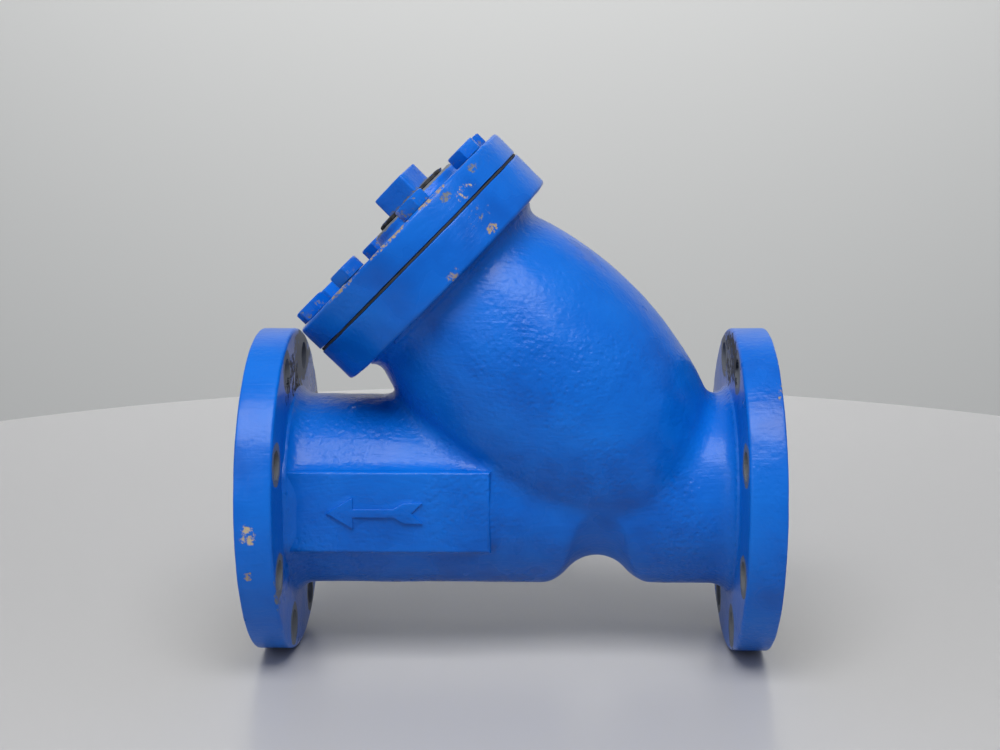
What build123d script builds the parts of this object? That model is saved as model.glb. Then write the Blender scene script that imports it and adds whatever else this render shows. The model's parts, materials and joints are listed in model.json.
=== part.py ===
"""Flanged Y-pattern basket strainer, class 125 cast iron, 5 inch.

Frame: the pipe run lies along X, +Z is up, and the leg that holds the screen
leans up and towards -X in the XZ plane. The origin is on the ground, below the
middle of the run. All lengths are millimetres.
"""
import math
import os

from build123d import *

os.makedirs("parts", exist_ok=True)

# ---------------------------------------------------------------- run flanges
FLANGE_DIAMETER = 254.0
FLANGE_THICKNESS = 28.1
FACE_TO_FACE = 396.9
PIPE_BORE = 127.0
PIPE_OUTSIDE = 150.0
PIPE_BOLT_CIRCLE = 215.9
PIPE_BOLT_HOLE = 22.2
PIPE_BOLT_COUNT = 8
FLANGE_NECK_FILLET = 11.0

# ------------------------------------------------------------------- the leg
LEG_ANGLE = 45.0                # above the run, leaning towards -X
LEG_CROSSING = 115.0            # X where the leg axis meets the run axis
LEG_FACE = 264.7                # along the leg axis, to the gasket face
LEG_FLANGE_DIAMETER = 214.0
LEG_FLANGE_THICKNESS = 31.0
LEG_NECK_FILLET = 9.0
BARREL_BELLY_RADIUS = 99.7      # widest radius of the leg's barrel
BARREL_BELLY_AT = 128.0         # where along the leg it is widest
BARREL_ARC_RADIUS = 288.0       # the curve of the barrel along the leg
BARREL_WALL = 10.0
BARREL_ROOT_AT = -8.0           # the barrel closes inside the run here

# ------------------------------------------------- seat, passages and valley
SEAT_AT = 6.0                   # along the leg axis, to the screen's seat
SEAT_WALL = 10.0                # thickness of the wall that carries the seat
SEAT_HOLE_RADIUS = 51.0
SEAT_FOOT = 3.0                 # the seat hole runs this far past the bore's floor
OUTLET_ROUND_END = -10.0        # centre X of the outlet passage's round end
VALLEY_AT = 66.0                # X of the dent below the seat wall
VALLEY_DEPTH = 23.0
VALLEY_RADIUS = 29.0
VALLEY_SHOULDER = 34.0
VALLEY_CENTRE_RISE = 26.0       # the dent's round section fades at the sides

# ------------------------------------------------------- cast pad and arrow
PAD_LEFT = -172.0
PAD_RIGHT = -15.0
PAD_HEIGHT = 63.0
PAD_FACE = 78.0                 # from the run axis to the pad's flat face
PAD_BEVEL = 4.0
ARROW_TIP = -138.0
ARROW_TAIL = -66.0
ARROW_HEAD_LENGTH = 20.0
ARROW_HEAD_HALF = 12.0
ARROW_SHAFT_HALF = 3.3
ARROW_TAIL_LENGTH = 22.0
ARROW_TAIL_HALF = 8.0
ARROW_PROUD = 2.0

# ------------------------------------------------------ cover and its gasket
GASKET_THICKNESS = 1.6
GASKET_INSET = 1.2              # the gasket's rim lies inside the flange's
COVER_THICKNESS = 21.8
COVER_EDGE_ROUND = 2.5
COVER_BOLT_COUNT = 8
COVER_BOLT_CIRCLE = 177.8
COVER_BOLT_PHASE = 20.5         # degrees from the leg's own plane
COVER_BOLT_CLEARANCE = 17.5
BOSS_MARGIN = 24.7              # boss over the plug's thread, diametral
BOSS_HEIGHT = 8.5
BOSS_ROUND = 4.0
PLUG_SCREEN_CLEARANCE = 1.95    # radial, between the plug and the screen's seam

# ------------------------------------------------------------ cover bolts
BOLT_DIAMETER = 15.875
BOLT_HEX = 23.8
BOLT_HEAD_HEIGHT = 9.9
BOLT_HEAD_CHAMFER = 1.2
BOLT_LENGTH = 44.5
BOLT_TURNS = (9, 21, 2, 14, 27, 5, 18, 0)   # how each hexagon stopped, degrees
TAPPED_DEPTH = 25.0
THREAD_CLEARANCE = 0.1

# --------------------------------------------------------- blow-off plug
PLUG_THREAD = 60.3
PLUG_THREAD_LENGTH = 24.0
PLUG_SQUARE = 32.5
PLUG_SQUARE_HEIGHT = 17.0
PLUG_CORNER = 2.5
PLUG_TOP_CHAMFER = 1.5
PLUG_TURN = 21.0
SEAL_MARGIN = 4.7               # seal over the plug's thread, diametral
SEAL_THICKNESS = 2.8

# ---------------------------------------------------------------- screen
SCREEN_OUTSIDE = 120.0
SCREEN_SHEET = 1.6
SCREEN_RING_WALL = 3.0
SCREEN_RING_WIDTH = 14.0
SCREEN_RING_LIP = 0.3           # ring bore over the sheet's outside, diametral
SCREEN_END_GAP = 0.4            # free length between seat and cover recess
SCREEN_SEAM_WIDTH = 12.0
SCREEN_SEAM_THICKNESS = 1.2
SCREEN_SEAM_GAP = 0.1           # between the strip and the sheet it laps
RECESS_DEPTH = 12.0             # pocket in the cover for the screen's ring
FIT_CLEARANCE = 0.4             # radial, between screen rings and their pockets

# ------------------------------------------------------------ worked out
RUN_HEIGHT = FLANGE_DIAMETER / 2
HALF_RUN = FACE_TO_FACE / 2
FLANGE_BACK = HALF_RUN - FLANGE_THICKNESS
LEG_ORIGIN = Vector(LEG_CROSSING, 0, RUN_HEIGHT)
LEG_COSINE = math.cos(math.radians(LEG_ANGLE))
LEG_SINE = math.sin(math.radians(LEG_ANGLE))
LEG_DIRECTION = Vector(-LEG_COSINE, 0, LEG_SINE)
LEG_ACROSS = Vector(LEG_SINE, 0, LEG_COSINE)
LEG_AXIS = Axis(LEG_ORIGIN, LEG_DIRECTION)
RUN_AXIS = Axis(Vector(0, 0, RUN_HEIGHT), Vector(1, 0, 0))
LEG_FLANGE_BACK = LEG_FACE - LEG_FLANGE_THICKNESS
COVER_BOTTOM = LEG_FACE + GASKET_THICKNESS
COVER_TOP = COVER_BOTTOM + COVER_THICKNESS
BOSS_TOP = COVER_TOP + BOSS_HEIGHT
RING_RADIUS = SCREEN_OUTSIDE / 2 + SCREEN_RING_LIP / 2 + SCREEN_RING_WALL
POCKET_RADIUS = RING_RADIUS + FIT_CLEARANCE
SCREEN_TOP = COVER_BOTTOM + RECESS_DEPTH - SCREEN_END_GAP
BOSS_DIAMETER = PLUG_THREAD + BOSS_MARGIN
SEAL_DIAMETER = PLUG_THREAD + SEAL_MARGIN
# the boss is offset towards the low side, as far as the screen leaves its plug room
BOSS_OFFSET = (SCREEN_OUTSIDE / 2 - SCREEN_SHEET - SCREEN_SEAM_GAP - SCREEN_SEAM_THICKNESS
               - PLUG_THREAD / 2 - PLUG_SCREEN_CLEARANCE)


def leg_plane(along):
    """Plane square to the leg axis, its X pointing across the leg."""
    return Plane(origin=LEG_ORIGIN + LEG_DIRECTION * along,
                 x_dir=LEG_ACROSS, z_dir=LEG_DIRECTION)


# the leg's own section: X is the radius, Y runs along the leg axis
LEG_SECTION = Plane(origin=LEG_ORIGIN, x_dir=LEG_ACROSS, z_dir=(0, -1, 0))
# the run's own section: X runs along the pipe, Y is the radius
RUN_SECTION = Plane(origin=(0, 0, RUN_HEIGHT), x_dir=(1, 0, 0), z_dir=(0, -1, 0))
RUN_SECTION_DOWN = Plane(origin=(0, 0, RUN_HEIGHT), x_dir=(1, 0, 0), z_dir=(0, 1, 0))


def barrel_radius(along, wall=0.0):
    """Radius of the barrel's arc at a distance along the leg."""
    offset = along - BARREL_BELLY_AT
    sag = BARREL_ARC_RADIUS - math.sqrt(BARREL_ARC_RADIUS ** 2 - offset ** 2)
    return BARREL_BELLY_RADIUS - sag - wall


INNER_LEG_RADIUS = barrel_radius(LEG_FLANGE_BACK, BARREL_WALL)


def barrel_points(wall, start, stop):
    """Start, middle and end of the barrel's arc between two stations."""
    stations = (start, (start + stop) / 2, stop)
    return [(barrel_radius(along, wall), along) for along in stations]


# ================================================ inlet passage, cut from the body
with BuildPart() as inlet_passage:
    # the seat's round hole runs on along the leg, to just past the bore's floor
    hole_foot = (SEAT_HOLE_RADIUS * LEG_COSINE - PIPE_BORE / 2) / LEG_SINE - SEAT_FOOT
    foot = LEG_ORIGIN + LEG_DIRECTION * hole_foot - LEG_ACROSS * SEAT_HOLE_RADIUS
    with BuildSketch(Plane(origin=(foot.X, 0, RUN_HEIGHT), x_dir=(0, 1, 0),
                           z_dir=(1, 0, 0))):
        Circle(PIPE_BORE / 2)
    extrude(amount=HALF_RUN - foot.X)
    split(bisect_by=leg_plane(SEAT_AT - SEAT_WALL), keep=Keep.BOTTOM)
    with BuildSketch(leg_plane(hole_foot)):
        Circle(SEAT_HOLE_RADIUS)
    extrude(amount=SEAT_AT - hole_foot)

# ============================================================ body casting
with BuildPart() as body:
    # run pipe with its two flanges, turned about the run axis
    with BuildSketch(RUN_SECTION):
        with BuildLine():
            pipe_radius = PIPE_OUTSIDE / 2
            neck_radius = pipe_radius + FLANGE_NECK_FILLET
            neck_end = FLANGE_BACK - FLANGE_NECK_FILLET
            flange_radius = FLANGE_DIAMETER / 2
            Polyline((-HALF_RUN, 0), (-HALF_RUN, flange_radius),
                     (-FLANGE_BACK, flange_radius), (-FLANGE_BACK, neck_radius))
            TangentArc((-FLANGE_BACK, neck_radius), (-neck_end, pipe_radius),
                       tangent=(0, -1))
            Line((-neck_end, pipe_radius), (neck_end, pipe_radius))
            TangentArc((neck_end, pipe_radius), (FLANGE_BACK, neck_radius),
                       tangent=(1, 0))
            Polyline((FLANGE_BACK, neck_radius), (FLANGE_BACK, flange_radius),
                     (HALF_RUN, flange_radius), (HALF_RUN, 0), (-HALF_RUN, 0))
        make_face()
    revolve(axis=RUN_AXIS)

    # smooth dent under the seat wall, deepest below and gone at the sides
    with BuildSketch(RUN_SECTION_DOWN):
        with BuildLine():
            dent_low = pipe_radius - VALLEY_DEPTH
            rise = VALLEY_RADIUS + VALLEY_SHOULDER - VALLEY_DEPTH
            reach = math.sqrt((VALLEY_RADIUS + VALLEY_SHOULDER) ** 2 - rise ** 2)
            share = VALLEY_RADIUS / (VALLEY_RADIUS + VALLEY_SHOULDER)
            turn = (reach * share, dent_low + VALLEY_RADIUS - rise * share)
            ThreePointArc((VALLEY_AT - turn[0], turn[1]), (VALLEY_AT, dent_low),
                          (VALLEY_AT + turn[0], turn[1]))
            TangentArc((VALLEY_AT - reach, pipe_radius),
                       (VALLEY_AT - turn[0], turn[1]), tangent=(1, 0))
            TangentArc((VALLEY_AT + reach, pipe_radius),
                       (VALLEY_AT + turn[0], turn[1]), tangent=(-1, 0))
            Polyline((VALLEY_AT - reach, pipe_radius),
                     (VALLEY_AT - reach, pipe_radius + VALLEY_SHOULDER),
                     (VALLEY_AT + reach, pipe_radius + VALLEY_SHOULDER),
                     (VALLEY_AT + reach, pipe_radius))
        make_face()
    revolve(axis=Axis((0, 0, RUN_HEIGHT + VALLEY_CENTRE_RISE), (1, 0, 0)),
            mode=Mode.SUBTRACT)

    # leg: barrel, neck fillet and flange, turned about the leg axis
    with BuildSketch(LEG_SECTION):
        with BuildLine():
            fillet_start = LEG_FLANGE_BACK - LEG_NECK_FILLET
            arc_points = barrel_points(0, BARREL_ROOT_AT, fillet_start)
            neck_top = barrel_radius(fillet_start) + LEG_NECK_FILLET
            leg_radius = LEG_FLANGE_DIAMETER / 2
            ThreePointArc(*arc_points)
            TangentArc(arc_points[2], (neck_top, LEG_FLANGE_BACK), tangent=(0, 1))
            Polyline((neck_top, LEG_FLANGE_BACK), (leg_radius, LEG_FLANGE_BACK),
                     (leg_radius, LEG_FACE), (0, LEG_FACE), (0, BARREL_ROOT_AT),
                     arc_points[0])
        make_face()
    revolve(axis=LEG_AXIS)

    # raised pad on the near side, for the flow arrow
    with BuildSketch(Plane(origin=((PAD_LEFT + PAD_RIGHT) / 2, 0, RUN_HEIGHT),
                           x_dir=(1, 0, 0), z_dir=(0, -1, 0))):
        Rectangle(PAD_RIGHT - PAD_LEFT, PAD_HEIGHT)
    extrude(amount=PAD_FACE)
    chamfer(body.faces().sort_by(Axis.Y).filter_by_position(
        Axis.Y, -PAD_FACE - 0.1, -PAD_FACE + 0.1).edges().filter_by(Axis.X), PAD_BEVEL)

    # flow arrow with a forked tail, pointing to the outlet
    with BuildSketch(Plane(origin=(0, -PAD_FACE, RUN_HEIGHT), x_dir=(1, 0, 0),
                           z_dir=(0, -1, 0))):
        with BuildLine():
            head_back = ARROW_TIP + ARROW_HEAD_LENGTH
            fork = ARROW_TAIL - ARROW_TAIL_LENGTH
            Polyline((ARROW_TIP, 0), (head_back, ARROW_HEAD_HALF),
                     (head_back, ARROW_SHAFT_HALF), (fork, ARROW_SHAFT_HALF),
                     (fork + ARROW_TAIL_HALF, ARROW_TAIL_HALF),
                     (ARROW_TAIL, ARROW_TAIL_HALF), (ARROW_TAIL - ARROW_TAIL_HALF, 0),
                     (ARROW_TAIL, -ARROW_TAIL_HALF), (fork + ARROW_TAIL_HALF, -ARROW_TAIL_HALF),
                     (fork, -ARROW_SHAFT_HALF), (head_back, -ARROW_SHAFT_HALF),
                     (head_back, -ARROW_HEAD_HALF), close=True)
        make_face()
    extrude(amount=ARROW_PROUD)

    # screen chamber inside the barrel, down to the seat
    with BuildSketch(LEG_SECTION):
        with BuildLine():
            chamber_start = SEAT_AT + SCREEN_RING_WIDTH
            arc_points = barrel_points(BARREL_WALL, chamber_start, LEG_FLANGE_BACK)
            ThreePointArc(*arc_points)
            Polyline(arc_points[2], (INNER_LEG_RADIUS, LEG_FACE), (0, LEG_FACE),
                     (0, SEAT_AT), (POCKET_RADIUS, SEAT_AT),
                     (POCKET_RADIUS, chamber_start), arc_points[0])
        make_face()
    revolve(axis=LEG_AXIS, mode=Mode.SUBTRACT)

    # outlet passage with a round inner end
    with BuildSketch(RUN_SECTION):
        with BuildLine():
            bore_radius = PIPE_BORE / 2
            Polyline((-HALF_RUN, 0), (-HALF_RUN, bore_radius),
                     (OUTLET_ROUND_END, bore_radius))
            TangentArc((OUTLET_ROUND_END, bore_radius),
                       (OUTLET_ROUND_END + bore_radius, 0), tangent=(1, 0))
            Line((OUTLET_ROUND_END + bore_radius, 0), (-HALF_RUN, 0))
        make_face()
    revolve(axis=RUN_AXIS, mode=Mode.SUBTRACT)

    # inlet passage, stopped by the seat wall
    add(inlet_passage.part, mode=Mode.SUBTRACT)

    # flange bolt holes, straddling the leg's plane
    for face_x, inward in ((-HALF_RUN, 1), (HALF_RUN, -1)):
        with BuildSketch(Plane(origin=(face_x, 0, RUN_HEIGHT), x_dir=(0, 1, 0),
                               z_dir=(inward, 0, 0))):
            with PolarLocations(PIPE_BOLT_CIRCLE / 2, PIPE_BOLT_COUNT,
                                start_angle=180 / PIPE_BOLT_COUNT):
                Circle(PIPE_BOLT_HOLE / 2)
        extrude(amount=FLANGE_THICKNESS, mode=Mode.SUBTRACT)

    # tapped holes for the cover bolts
    with BuildSketch(leg_plane(LEG_FACE)):
        with PolarLocations(COVER_BOLT_CIRCLE / 2, COVER_BOLT_COUNT,
                            start_angle=COVER_BOLT_PHASE):
            Circle(BOLT_DIAMETER / 2 + THREAD_CLEARANCE)
    extrude(amount=-TAPPED_DEPTH, mode=Mode.SUBTRACT)

# the casting is kept as four solids that meet face to face, each of a simple shape
NECK_END = FLANGE_BACK - FLANGE_NECK_FILLET
LEG_NECK_START = LEG_FLANGE_BACK - LEG_NECK_FILLET
INLET_CUT = Plane(origin=(NECK_END, 0, RUN_HEIGHT), z_dir=(1, 0, 0))
OUTLET_CUT = Plane(origin=(-NECK_END, 0, RUN_HEIGHT), z_dir=(-1, 0, 0))

with BuildPart() as leg_end:
    with BuildSketch(leg_plane(LEG_NECK_START)):
        Circle(LEG_FLANGE_DIAMETER / 2 + 1)
    extrude(amount=LEG_FACE + 1 - LEG_NECK_START)

for node, cut_plane in (("inlet_flange", INLET_CUT), ("outlet_flange", OUTLET_CUT)):
    with BuildPart() as pipe_flange:
        add(body.part)
        split(bisect_by=cut_plane, keep=Keep.TOP)
    pipe_flange.part.label = node
    export_step(pipe_flange.part, f"parts/{node}.step")

with BuildPart() as leg_flange:
    add(body.part)
    add(leg_end.part, mode=Mode.INTERSECT)
leg_flange.part.label = "leg_flange"
export_step(leg_flange.part, "parts/leg_flange.step")

with BuildPart() as run_and_barrel:
    add(body.part)
    split(bisect_by=INLET_CUT, keep=Keep.BOTTOM)
    split(bisect_by=OUTLET_CUT, keep=Keep.BOTTOM)
    add(leg_end.part, mode=Mode.SUBTRACT)
run_and_barrel.part.label = "body_casting"
export_step(run_and_barrel.part, "parts/body_casting.step")

# ======================================================== cover and gasket
with BuildPart() as gasket:
    with BuildSketch(leg_plane(LEG_FACE)):
        Circle(LEG_FLANGE_DIAMETER / 2 - GASKET_INSET)
        Circle(INNER_LEG_RADIUS + GASKET_INSET, mode=Mode.SUBTRACT)
        with PolarLocations(COVER_BOLT_CIRCLE / 2, COVER_BOLT_COUNT,
                            start_angle=COVER_BOLT_PHASE):
            Circle(COVER_BOLT_CLEARANCE / 2, mode=Mode.SUBTRACT)
    extrude(amount=GASKET_THICKNESS)
gasket.part.label = "cover_gasket"
export_step(gasket.part, "parts/cover_gasket.step")

with BuildPart() as cover:
    with BuildSketch(leg_plane(COVER_BOTTOM)):
        Circle(LEG_FLANGE_DIAMETER / 2)
    extrude(amount=COVER_THICKNESS)
    fillet(cover.edges().sort_by(LEG_AXIS)[-1], COVER_EDGE_ROUND)
    with BuildSketch(leg_plane(COVER_TOP)):
        with Locations((BOSS_OFFSET, 0)):
            Circle(BOSS_DIAMETER / 2)
    extrude(amount=BOSS_HEIGHT)
    fillet(cover.edges().sort_by(LEG_AXIS)[-1], BOSS_ROUND)
    # pocket that holds the end of the screen
    with BuildSketch(leg_plane(COVER_BOTTOM)):
        Circle(POCKET_RADIUS)
    extrude(amount=RECESS_DEPTH, mode=Mode.SUBTRACT)
    # tapped blow-off hole through the boss
    with BuildSketch(leg_plane(COVER_BOTTOM)):
        with Locations((BOSS_OFFSET, 0)):
            Circle(PLUG_THREAD / 2 + THREAD_CLEARANCE)
    extrude(amount=BOSS_TOP - COVER_BOTTOM, mode=Mode.SUBTRACT)
    with BuildSketch(leg_plane(COVER_BOTTOM)):
        with PolarLocations(COVER_BOLT_CIRCLE / 2, COVER_BOLT_COUNT,
                            start_angle=COVER_BOLT_PHASE):
            Circle(COVER_BOLT_CLEARANCE / 2)
    extrude(amount=COVER_THICKNESS, mode=Mode.SUBTRACT)
cover.part.label = "cover"
export_step(cover.part, "parts/cover.step")

# ============================================================= cover bolts
for index, hex_turn in enumerate(BOLT_TURNS):
    angle = math.radians(COVER_BOLT_PHASE + index * 360 / COVER_BOLT_COUNT)
    across = COVER_BOLT_CIRCLE / 2 * math.cos(angle)
    sideways = COVER_BOLT_CIRCLE / 2 * math.sin(angle)
    hex_corner = BOLT_HEX / 2 / math.cos(math.radians(30))
    with BuildPart() as bolt:
        # the head's round blank, chamfered, then cut to a hexagon
        with BuildSketch(leg_plane(COVER_TOP)):
            with Locations((across, sideways)):
                Circle(hex_corner)
        extrude(amount=BOLT_HEAD_HEIGHT)
        chamfer(bolt.edges().sort_by(LEG_AXIS)[-1], BOLT_HEAD_CHAMFER,
                2 * BOLT_HEAD_CHAMFER)
        with BuildSketch(leg_plane(COVER_TOP)):
            with Locations(Location((across, sideways, 0), hex_turn)):
                RegularPolygon(hex_corner, 6)
        extrude(amount=BOLT_HEAD_HEIGHT, mode=Mode.INTERSECT)
        with BuildSketch(leg_plane(COVER_TOP)):
            with Locations((across, sideways)):
                Circle(BOLT_DIAMETER / 2)
        extrude(amount=-BOLT_LENGTH)
        chamfer(bolt.edges().sort_by(LEG_AXIS)[0], BOLT_HEAD_CHAMFER)
    node = f"cover_bolt_{index + 1}"
    bolt.part.label = node
    export_step(bolt.part, f"parts/{node}.step")

# =================================================== blow-off plug and seal
with BuildPart() as plug:
    with BuildSketch(leg_plane(BOSS_TOP + SEAL_THICKNESS)):
        with Locations((BOSS_OFFSET, 0)):
            Circle(PLUG_THREAD / 2)
    extrude(amount=-(SEAL_THICKNESS + PLUG_THREAD_LENGTH))
    with BuildSketch(leg_plane(BOSS_TOP + SEAL_THICKNESS)):
        with Locations(Location((BOSS_OFFSET, 0, 0), -PLUG_TURN)):
            RectangleRounded(PLUG_SQUARE, PLUG_SQUARE, PLUG_CORNER)
    extrude(amount=PLUG_SQUARE_HEIGHT)
    chamfer(plug.faces().sort_by(LEG_AXIS)[-1].edges(), PLUG_TOP_CHAMFER)
plug.part.label = "blow_off_plug"
export_step(plug.part, "parts/blow_off_plug.step")

with BuildPart() as plug_seal:
    with BuildSketch(leg_plane(BOSS_TOP)):
        with Locations((BOSS_OFFSET, 0)):
            Circle(SEAL_DIAMETER / 2)
            Circle(PLUG_THREAD / 2 + THREAD_CLEARANCE, mode=Mode.SUBTRACT)
    extrude(amount=SEAL_THICKNESS)
plug_seal.part.label = "plug_seal"
export_step(plug_seal.part, "parts/plug_seal.step")

# ================================================================== screen
with BuildPart() as screen_tube:
    with BuildSketch(leg_plane(SEAT_AT)):
        Circle(SCREEN_OUTSIDE / 2)
        Circle(SCREEN_OUTSIDE / 2 - SCREEN_SHEET, mode=Mode.SUBTRACT)
    extrude(amount=SCREEN_TOP - SEAT_AT)
screen_tube.part.label = "screen_tube"
export_step(screen_tube.part, "parts/screen_tube.step")

with BuildPart() as seam_strip:
    # joint strip that laps the sheet's two edges on the inside
    strip_radius = SCREEN_OUTSIDE / 2 - SCREEN_SHEET - SCREEN_SEAM_GAP
    with BuildSketch(leg_plane(SEAT_AT)):
        Circle(strip_radius)
        Circle(strip_radius - SCREEN_SEAM_THICKNESS, mode=Mode.SUBTRACT)
        with Locations((SCREEN_OUTSIDE / 2, 0)):
            Rectangle(SCREEN_OUTSIDE, SCREEN_SEAM_WIDTH, mode=Mode.INTERSECT)
    extrude(amount=SCREEN_TOP - SEAT_AT)
seam_strip.part.label = "screen_seam_strip"
export_step(seam_strip.part, "parts/screen_seam_strip.step")

for node, ring_start in (("screen_ring_seat", SEAT_AT),
                         ("screen_ring_cover", SCREEN_TOP - SCREEN_RING_WIDTH)):
    with BuildPart() as end_ring:
        with BuildSketch(leg_plane(ring_start)):
            Circle(RING_RADIUS)
            Circle(RING_RADIUS - SCREEN_RING_WALL, mode=Mode.SUBTRACT)
        extrude(amount=SCREEN_RING_WIDTH)
    end_ring.part.label = node
    export_step(end_ring.part, f"parts/{node}.step")
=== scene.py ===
import json
import math

import bmesh
import bpy
import numpy as np
from mathutils import Matrix, Vector, noise


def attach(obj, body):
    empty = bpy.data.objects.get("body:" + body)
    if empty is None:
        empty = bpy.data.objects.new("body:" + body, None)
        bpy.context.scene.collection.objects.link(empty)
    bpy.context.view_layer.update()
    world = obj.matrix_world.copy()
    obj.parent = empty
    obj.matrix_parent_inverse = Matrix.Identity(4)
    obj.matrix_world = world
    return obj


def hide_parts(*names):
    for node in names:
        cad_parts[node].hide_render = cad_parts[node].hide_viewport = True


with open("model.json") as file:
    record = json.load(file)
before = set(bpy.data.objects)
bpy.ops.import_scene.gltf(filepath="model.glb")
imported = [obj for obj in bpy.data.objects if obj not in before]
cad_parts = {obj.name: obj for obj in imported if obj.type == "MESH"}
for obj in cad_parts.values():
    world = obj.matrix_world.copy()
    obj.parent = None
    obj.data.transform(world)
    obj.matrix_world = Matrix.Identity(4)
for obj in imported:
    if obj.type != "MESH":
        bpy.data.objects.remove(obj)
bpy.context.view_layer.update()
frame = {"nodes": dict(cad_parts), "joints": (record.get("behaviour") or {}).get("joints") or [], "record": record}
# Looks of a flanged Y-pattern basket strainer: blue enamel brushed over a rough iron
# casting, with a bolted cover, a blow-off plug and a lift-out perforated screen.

# ------------------------------------------------------------ from the frame
joints = {joint["name"]: joint for joint in frame["joints"]}
mounts = {mount["name"]: mount for mount in frame["record"]["mounts"]}
RUN_CENTRE = Vector((0, 0, mounts["inlet_bolts"]["pos_m"][2]))
HALF_RUN = mounts["inlet_bolts"]["pos_m"][0]
FLANGE_RADIUS = RUN_CENTRE.z
PIPE_HOLES = mounts["inlet_bolts"]["dims"]
LEG_UP = Vector(joints["cover_lift"]["axis"]).normalized()
LEG_ACROSS = Vector((LEG_UP.z, 0, -LEG_UP.x))
COVER_TOP_POINT = Vector(joints["cover_lift"]["pos_m"])
LEG_FRAME = Matrix.Translation(COVER_TOP_POINT) @ Matrix(
    (LEG_ACROSS, LEG_UP.cross(LEG_ACROSS), LEG_UP)).transposed().to_4x4()
BOLT_NAMES = [f"bolt_{index + 1}" for index in range(8)]
BOLT_POINTS = [Vector(joints[f"{name}_out"]["pos_m"]) for name in BOLT_NAMES]
PLUG_POINT = Vector(joints["plug_turn"]["pos_m"])


def leg_place(point):
    """Frame at a point, turned as the leg is: local Z runs along the leg."""
    return LEG_FRAME @ Matrix.Translation(LEG_FRAME.inverted() @ point)


# ------------------------------------------------- sizes that the frame lacks
FLANGE_THICKNESS = 0.0281
PIPE_BORE_RADIUS = 0.0635
LEG_FLANGE_RADIUS = 0.107
LEG_FLANGE_THICKNESS = 0.031
LEG_BORE_RADIUS = 0.0696
COVER_THICKNESS = 0.0218
GASKET_THICKNESS = 0.0016
LEG_FACE = -(COVER_THICKNESS + GASKET_THICKNESS)    # below the cover's top
BOSS_RADIUS = 0.0425
BOSS_HEIGHT = 0.0085
POCKET_RADIUS = 0.06355
POCKET_DEPTH = 0.012
BOLT_RADIUS = 0.0079375
BOLT_HOLE_RADIUS = 0.00875
BOLT_HEAD_FLAT = 0.0119                             # centre to flat
BOLT_HEAD_HEIGHT = 0.0099
BOLT_LENGTH = 0.0445
BOLT_LEAD = 0.00231
BOLT_THREAD_DEPTH = 0.0011
BOLT_PLAIN_SHANK = 0.019
TAPPED_DEPTH = 0.025
FIT = 0.0001                                        # radial gap round a thread
BOLT_TURNS = (9, 21, 2, 14, 27, 5, 18, 0)
PLUG_RADIUS = 0.03015
PLUG_THREAD_LENGTH = 0.024
PLUG_LEAD = 0.00221
PLUG_THREAD_DEPTH = 0.0012
PLUG_SQUARE = 0.0325
PLUG_HEAD_HEIGHT = 0.017
PLUG_TURN = 21.0
SEAL_RADIUS = 0.0325
SEAL_THICKNESS = 0.0028
SEAL_SHOULDER = 0.0314                              # where its cut edge starts to round
SEAL_EDGE = (0.0004, 0.0021)                        # where its outer edge starts and ends
GASKET_RADIUS = 0.1058
GASKET_EDGE = 0.104                                 # points past this are uneven
GASKET_INSET = 0.0012
SCREEN_RADIUS = 0.060
SCREEN_SHEET = 0.0016
SCREEN_HOLE_PITCH = 0.0062
SCREEN_HOLE_SHARE = 0.60                            # round hole over pitch
SIX_SIDED_REACH = 1.1                               # corner of a hexagon over radius of a
                                                    # circle of the same area
SCREEN_RING_GAP = 0.00015
SCREEN_RING_WALL = 0.003


# ============================================================ mesh helpers
def link(name, mesh):
    piece = bpy.data.objects.new(name, mesh)
    bpy.context.scene.collection.objects.link(piece)
    return piece


def piece_from(name, shape, sharp_degrees=38.0):
    """Turns a bmesh into a piece, smooth except at edges sharper than the angle."""
    mesh = bpy.data.meshes.new(name)
    shape.to_mesh(mesh)
    shape.free()
    piece = link(name, mesh)
    smooth_shade(piece, sharp_degrees)
    return piece


def smooth_shade(piece, sharp_degrees):
    mesh = piece.data
    mesh.polygons.foreach_set("use_smooth", [True] * len(mesh.polygons))
    mesh.set_sharp_from_angle(angle=math.radians(sharp_degrees))


def apply_modifiers(piece):
    """Makes the modifiers' result the piece's own mesh."""
    depsgraph = bpy.context.evaluated_depsgraph_get()
    mesh = bpy.data.meshes.new_from_object(piece.evaluated_get(depsgraph))
    piece.modifiers.clear()
    piece.data = mesh
    return piece


def spun(outline, place, steps=144):
    """Closed ring or disc: an outline of (radius, height) points turned about local Z."""
    shape = bmesh.new()
    ring = [shape.verts.new((radius, 0, height)) for radius, height in outline]
    edges = [shape.edges.new(pair) for pair in zip(ring, ring[1:] + ring[:1])]
    bmesh.ops.spin(shape, geom=ring + edges, cent=(0, 0, 0), axis=(0, 0, 1),
                   angle=math.tau, steps=steps, use_merge=True)
    bmesh.ops.remove_doubles(shape, verts=shape.verts, dist=1e-6)
    bmesh.ops.recalc_face_normals(shape, faces=shape.faces)
    bmesh.ops.transform(shape, matrix=place, verts=shape.verts)
    return shape


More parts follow.
